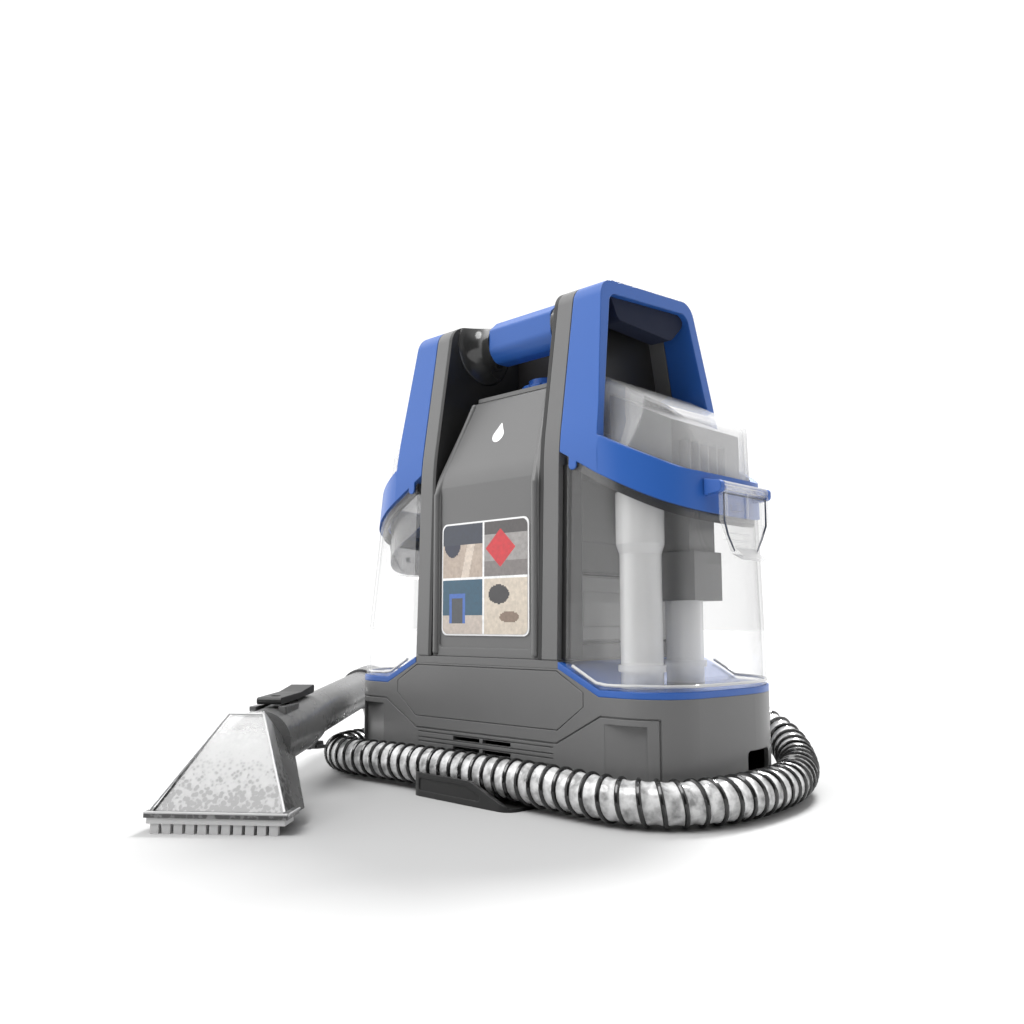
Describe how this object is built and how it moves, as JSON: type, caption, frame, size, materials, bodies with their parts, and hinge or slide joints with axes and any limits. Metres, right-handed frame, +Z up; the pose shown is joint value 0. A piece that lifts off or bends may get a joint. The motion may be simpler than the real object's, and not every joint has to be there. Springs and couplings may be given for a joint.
{
  "type": "carpet cleaner",
  "caption": "Portable spot carpet cleaner with clear lift-off tanks on a low base, a carry handle, a ribbed suction hose wrapped round the base and a hand nozzle.",
  "frame": {"origin": "middle of the flat underside of the bottom cover, on the floor", "axes": "+X to the machine's right seen from the front (dirty tank side), -Y to the front, +Z up"},
  "size_m": [0.5215, 0.5309, 0.3336],
  "materials": {
    "grey_plastic": "satin",
    "dark_plastic": "satin",
    "blue_plastic": "satin gloss",
    "blue_soft_grip": "matte",
    "clear_plastic": "clear",
    "separator_plastic": "satin",
    "hose_plastic": "glossy, translucent with a dark helical rib",
    "bristle_plastic": "satin",
    "tubing": "clear",
    "rubber": "matte",
    "label": "satin printed",
    "steel": "brushed",
    "motor_metal": "cast",
    "board": "satin"
  },
  "bodies": {
    "root": {"bottom_cover": "dark_plastic", "rubber_feet": "rubber", "base_housing": "grey_plastic", "name_panel": "grey_plastic", "rim_seat_right": "blue_plastic", "rim_seat_left": "blue_plastic", "column_collar": "grey_plastic", "side_frame_right": "grey_plastic", "side_frame_left": "grey_plastic", "side_wall_right": "dark_plastic", "side_wall_left": "dark_plastic", "column_fascia": "grey_plastic", "label_plate": "label", "top_deck": "grey_plastic", "column_rear_cover": "dark_plastic", "carry_grip": "blue_plastic", "grip_collars": "dark_plastic", "vacuum_motor": "motor_metal", "motor_mounts": "rubber", "fan_housing": "dark_plastic", "water_pump": "dark_plastic", "circuit_board": "board", "power_switch": "dark_plastic", "base_ducts": "dark_plastic", "water_line": "tubing", "hose_cradle": "dark_plastic", "hose_port": "dark_plastic", "hose_tube": "hose_plastic", "hose_cuffs": "dark_plastic", "cord_gland": "dark_plastic", "housing_screws": "steel", "wand_tube": "grey_plastic", "wand_handle": "grey_plastic", "trigger_pin": "steel"},
    "power_button": {"power_button": "blue_plastic"},
    "fan_rotor": {"fan_impeller": "dark_plastic", "motor_shaft": "steel"},
    "clean_tank": {"clean_bottle": "clear_plastic", "clean_valve": "dark_plastic"},
    "clean_lid": {"clean_handle": "blue_plastic", "clean_grip_insert": "blue_soft_grip", "clean_dome": "clear_plastic", "clean_seal": "rubber"},
    "clean_latch": {"clean_latch": "clear_plastic"},
    "dirty_tank": {"dirty_bottle": "clear_plastic", "inlet_standpipe": "clear_plastic", "suction_standpipe": "clear_plastic"},
    "dirty_lid": {"dirty_handle": "blue_plastic", "dirty_grip_insert": "blue_soft_grip", "dirty_dome": "clear_plastic", "dirty_seal": "rubber", "dirty_separator": "separator_plastic"},
    "dirty_latch": {"dirty_latch": "clear_plastic"},
    "dirty_float": {"dirty_float": "dark_plastic"},
    "trigger": {"trigger": "dark_plastic"},
    "nozzle": {"nozzle_body": "grey_plastic", "nozzle_window": "clear_plastic", "brush_strip": "bristle_plastic", "spray_tip": "dark_plastic"},
    "nozzle_release": {"nozzle_release": "dark_plastic"}
  },
  "joints": [
    {"name": "clean_tank_lift", "type": "slide", "parent": "root", "child": "clean_tank", "axis": [0, 0, 1], "range_m": [0, 0.12]},
    {"name": "clean_lid_lift", "type": "slide", "parent": "clean_tank", "child": "clean_lid", "axis": [0, 0, 1], "range_m": [0, 0.05]},
    {"name": "clean_latch_swing", "type": "hinge", "parent": "clean_lid", "child": "clean_latch", "pos_m": [-0.153, -0.008, 0.188], "axis": [0, 1, 0], "range_deg": [0, 100]},
    {"name": "dirty_tank_lift", "type": "slide", "parent": "root", "child": "dirty_tank", "axis": [0, 0, 1], "range_m": [0, 0.12]},
    {"name": "dirty_lid_lift", "type": "slide", "parent": "dirty_tank", "child": "dirty_lid", "axis": [0, 0, 1], "range_m": [0, 0.05]},
    {"name": "dirty_latch_swing", "type": "hinge", "parent": "dirty_lid", "child": "dirty_latch", "pos_m": [0.153, -0.008, 0.188], "axis": [0, -1, 0], "range_deg": [0, 100]},
    {"name": "float_rise", "type": "slide", "parent": "dirty_lid", "child": "dirty_float", "axis": [0, 0, 1], "range_m": [0, 0.013]},
    {"name": "power_press", "type": "slide", "parent": "root", "child": "power_button", "axis": [0, 0, -1], "range_m": [0, 0.002], "stiffness_N_per_m": 600, "springref_m": -0.001},
    {"name": "fan_spin", "type": "hinge", "parent": "root", "child": "fan_rotor", "pos_m": [0, -0.033, 0.11], "axis": [0, 0, 1], "continuous": true},
    {"name": "trigger_pull", "type": "hinge", "parent": "root", "child": "trigger", "pos_m": [-0.10808, -0.14018, 0.0275], "axis": [0.7781, 0.6281, 0], "range_deg": [0, 6.5], "stiffness_Nm_per_rad": 0.3, "springref_deg": -14.32},
    {"name": "nozzle_pull", "type": "slide", "parent": "root", "child": "nozzle", "axis": [0.6269, -0.7765, -0.0639], "range_m": [0, 0.026]},
    {"name": "release_slide", "type": "slide", "parent": "nozzle", "child": "nozzle_release", "axis": [-0.6269, 0.7765, 0.0639], "range_m": [0, 0.004], "stiffness_N_per_m": 400, "springref_m": -0.001}
  ]
}
